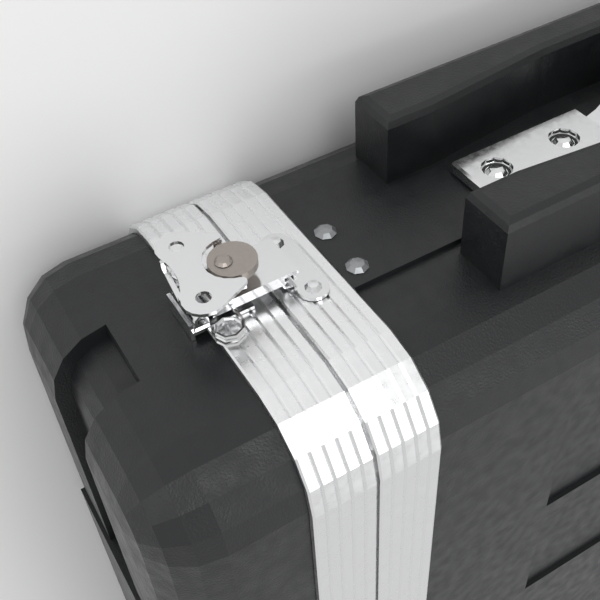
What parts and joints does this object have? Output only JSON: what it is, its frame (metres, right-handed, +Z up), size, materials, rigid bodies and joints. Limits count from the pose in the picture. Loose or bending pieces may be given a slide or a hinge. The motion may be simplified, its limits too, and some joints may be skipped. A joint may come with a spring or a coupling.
{
  "type": "moulded rack case",
  "caption": "Black moulded rack case for 19 inch equipment, with two lift-off covers, aluminium rings, butterfly draw latches and strap handles.",
  "frame": {"origin": "middle of the base, on the floor", "axes": "+Z up, front cover towards -Y, latches and handles on the -X and +X sides"},
  "size_m": [0.568, 0.629, 0.166],
  "materials": {
    "moulding": "grained black moulding",
    "aluminium": "fluted mill finish",
    "bright_zinc": "bright plated steel",
    "cast_zinc": "satin",
    "rail_steel": "satin",
    "grip": "moulded grip"
  },
  "bodies": {
    "case": {"body_shell": "moulding", "front_body_ring": "aluminium", "rear_body_ring": "aluminium", "front_left_rack_rail": "rail_steel", "front_left_strike": "bright_zinc", "front_right_rack_rail": "rail_steel", "front_right_strike": "bright_zinc", "rear_left_rack_rail": "rail_steel", "rear_left_strike": "bright_zinc", "rear_right_rack_rail": "rail_steel", "rear_right_strike": "bright_zinc", "left_handle_front_cap": "bright_zinc", "left_handle_rear_cap": "bright_zinc", "right_handle_front_cap": "bright_zinc", "right_handle_rear_cap": "bright_zinc"},
    "front_cover": {"front_cover_shell": "moulding", "front_cover_ring": "aluminium", "front_left_latch_base": "bright_zinc", "front_left_latch_pivot_pin": "bright_zinc", "front_left_latch_upper_spring": "bright_zinc", "front_left_latch_lower_spring": "bright_zinc", "front_right_latch_base": "bright_zinc", "front_right_latch_pivot_pin": "bright_zinc", "front_right_latch_upper_spring": "bright_zinc", "front_right_latch_lower_spring": "bright_zinc"},
    "front_left_latch_lever": {"front_left_latch_carrier": "bright_zinc", "front_left_latch_cam_rivet": "cast_zinc"},
    "front_left_latch_draw": {"front_left_latch_hook": "bright_zinc"},
    "front_left_latch_eccentric": {"front_left_latch_cam": "cast_zinc"},
    "front_left_latch_flap": {"front_left_latch_wing": "bright_zinc"},
    "front_right_latch_lever": {"front_right_latch_carrier": "bright_zinc", "front_right_latch_cam_rivet": "cast_zinc"},
    "front_right_latch_draw": {"front_right_latch_hook": "bright_zinc"},
    "front_right_latch_eccentric": {"front_right_latch_cam": "cast_zinc"},
    "front_right_latch_flap": {"front_right_latch_wing": "bright_zinc"},
    "rear_cover": {"rear_cover_shell": "moulding", "rear_cover_ring": "aluminium", "rear_left_latch_base": "bright_zinc", "rear_left_latch_pivot_pin": "bright_zinc", "rear_left_latch_upper_spring": "bright_zinc", "rear_left_latch_lower_spring": "bright_zinc", "rear_right_latch_base": "bright_zinc", "rear_right_latch_pivot_pin": "bright_zinc", "rear_right_latch_upper_spring": "bright_zinc", "rear_right_latch_lower_spring": "bright_zinc"},
    "rear_left_latch_lever": {"rear_left_latch_carrier": "bright_zinc", "rear_left_latch_cam_rivet": "cast_zinc"},
    "rear_left_latch_draw": {"rear_left_latch_hook": "bright_zinc"},
    "rear_left_latch_eccentric": {"rear_left_latch_cam": "cast_zinc"},
    "rear_left_latch_flap": {"rear_left_latch_wing": "bright_zinc"},
    "rear_right_latch_lever": {"rear_right_latch_carrier": "bright_zinc", "rear_right_latch_cam_rivet": "cast_zinc"},
    "rear_right_latch_draw": {"rear_right_latch_hook": "bright_zinc"},
    "rear_right_latch_eccentric": {"rear_right_latch_cam": "cast_zinc"},
    "rear_right_latch_flap": {"rear_right_latch_wing": "bright_zinc"},
    "left_handle": {"left_handle_strap": "bright_zinc", "left_handle_grip": "grip"},
    "right_handle": {"right_handle_strap": "bright_zinc", "right_handle_grip": "grip"}
  },
  "joints": [
    {"name": "front_cover_pull", "type": "slide", "parent": "case", "child": "front_cover", "axis": [0, -1, 0], "range_m": [0, 0.035]},
    {"name": "front_left_latch_lift", "type": "hinge", "parent": "front_cover", "child": "front_left_latch_lever", "pos_m": [-0.26, -0.256, 0.08397], "axis": [0, 0, 1], "range_deg": [0, 85]},
    {"name": "front_left_latch_turn", "type": "hinge", "parent": "front_left_latch_lever", "child": "front_left_latch_eccentric", "pos_m": [-0.274, -0.2399, 0.08397], "axis": [-1, 0, 0], "range_deg": [0, 180]},
    {"name": "front_left_latch_fold", "type": "hinge", "parent": "front_left_latch_eccentric", "child": "front_left_latch_flap", "pos_m": [-0.2717, -0.23791, 0.08419], "axis": [0, 0.1063, -0.9943], "range_deg": [0, 90]},
    {"name": "front_left_latch_draw_out", "type": "slide", "parent": "front_left_latch_lever", "child": "front_left_latch_draw", "axis": [0, 1, 0], "range_m": [0, 0.0066]},
    {"name": "front_right_latch_lift", "type": "hinge", "parent": "front_cover", "child": "front_right_latch_lever", "pos_m": [0.26, -0.256, 0.08397], "axis": [0, 0, -1], "range_deg": [0, 85]},
    {"name": "front_right_latch_turn", "type": "hinge", "parent": "front_right_latch_lever", "child": "front_right_latch_eccentric", "pos_m": [0.274, -0.2399, 0.08397], "axis": [1, 0, 0], "range_deg": [0, 180]},
    {"name": "front_right_latch_fold", "type": "hinge", "parent": "front_right_latch_eccentric", "child": "front_right_latch_flap", "pos_m": [0.2717, -0.23791, 0.08376], "axis": [0, 0.1063, 0.9943], "range_deg": [0, 90]},
    {"name": "front_right_latch_draw_out", "type": "slide", "parent": "front_right_latch_lever", "child": "front_right_latch_draw", "axis": [0, 1, 0], "range_m": [0, 0.0066]},
    {"name": "rear_cover_pull", "type": "slide", "parent": "case", "child": "rear_cover", "axis": [0, 1, 0], "range_m": [0, 0.035]},
    {"name": "rear_left_latch_lift", "type": "hinge", "parent": "rear_cover", "child": "rear_left_latch_lever", "pos_m": [-0.26, 0.256, 0.08397], "axis": [0, 0, -1], "range_deg": [0, 85]},
    {"name": "rear_left_latch_turn", "type": "hinge", "parent": "rear_left_latch_lever", "child": "rear_left_latch_eccentric", "pos_m": [-0.274, 0.2399, 0.08397], "axis": [-1, 0, 0], "range_deg": [0, 180]},
    {"name": "rear_left_latch_fold", "type": "hinge", "parent": "rear_left_latch_eccentric", "child": "rear_left_latch_flap", "pos_m": [-0.2717, 0.23791, 0.08376], "axis": [0, -0.1063, 0.9943], "range_deg": [0, 90]},
    {"name": "rear_left_latch_draw_out", "type": "slide", "parent": "rear_left_latch_lever", "child": "rear_left_latch_draw", "axis": [0, -1, 0], "range_m": [0, 0.0066]},
    {"name": "rear_right_latch_lift", "type": "hinge", "parent": "rear_cover", "child": "rear_right_latch_lever", "pos_m": [0.26, 0.256, 0.08397], "axis": [0, 0, 1], "range_deg": [0, 85]},
    {"name": "rear_right_latch_turn", "type": "hinge", "parent": "rear_right_latch_lever", "child": "rear_right_latch_eccentric", "pos_m": [0.274, 0.2399, 0.08397], "axis": [1, 0, 0], "range_deg": [0, 180]},
    {"name": "rear_right_latch_fold", "type": "hinge", "parent": "rear_right_latch_eccentric", "child": "rear_right_latch_flap", "pos_m": [0.2717, 0.23791, 0.08419], "axis": [0, -0.1063, -0.9943], "range_deg": [0, 90]},
    {"name": "rear_right_latch_draw_out", "type": "slide", "parent": "rear_right_latch_lever", "child": "rear_right_latch_draw", "axis": [0, -1, 0], "range_m": [0, 0.0066]},
    {"name": "left_handle_lift", "type": "slide", "parent": "case", "child": "left_handle", "axis": [-1, 0, 0], "range_m": [0, 0.0008]},
    {"name": "right_handle_lift", "type": "slide", "parent": "case", "child": "right_handle", "axis": [1, 0, 0], "range_m": [0, 0.0008]}
  ],
  "couplings": [
    {"joint": "front_left_latch_lift", "follows": "front_cover_pull", "rad_per_m": 42.38},
    {"joint": "front_left_latch_draw_out", "follows": "front_left_latch_turn", "m_per_rad": 0.0021},
    {"joint": "front_right_latch_lift", "follows": "front_cover_pull", "rad_per_m": 42.38},
    {"joint": "front_right_latch_draw_out", "follows": "front_right_latch_turn", "m_per_rad": 0.0021},
    {"joint": "rear_left_latch_lift", "follows": "rear_cover_pull", "rad_per_m": 42.38},
    {"joint": "rear_left_latch_draw_out", "follows": "rear_left_latch_turn", "m_per_rad": 0.0021},
    {"joint": "rear_right_latch_lift", "follows": "rear_cover_pull", "rad_per_m": 42.38},
    {"joint": "rear_right_latch_draw_out", "follows": "rear_right_latch_turn", "m_per_rad": 0.0021}
  ]
}
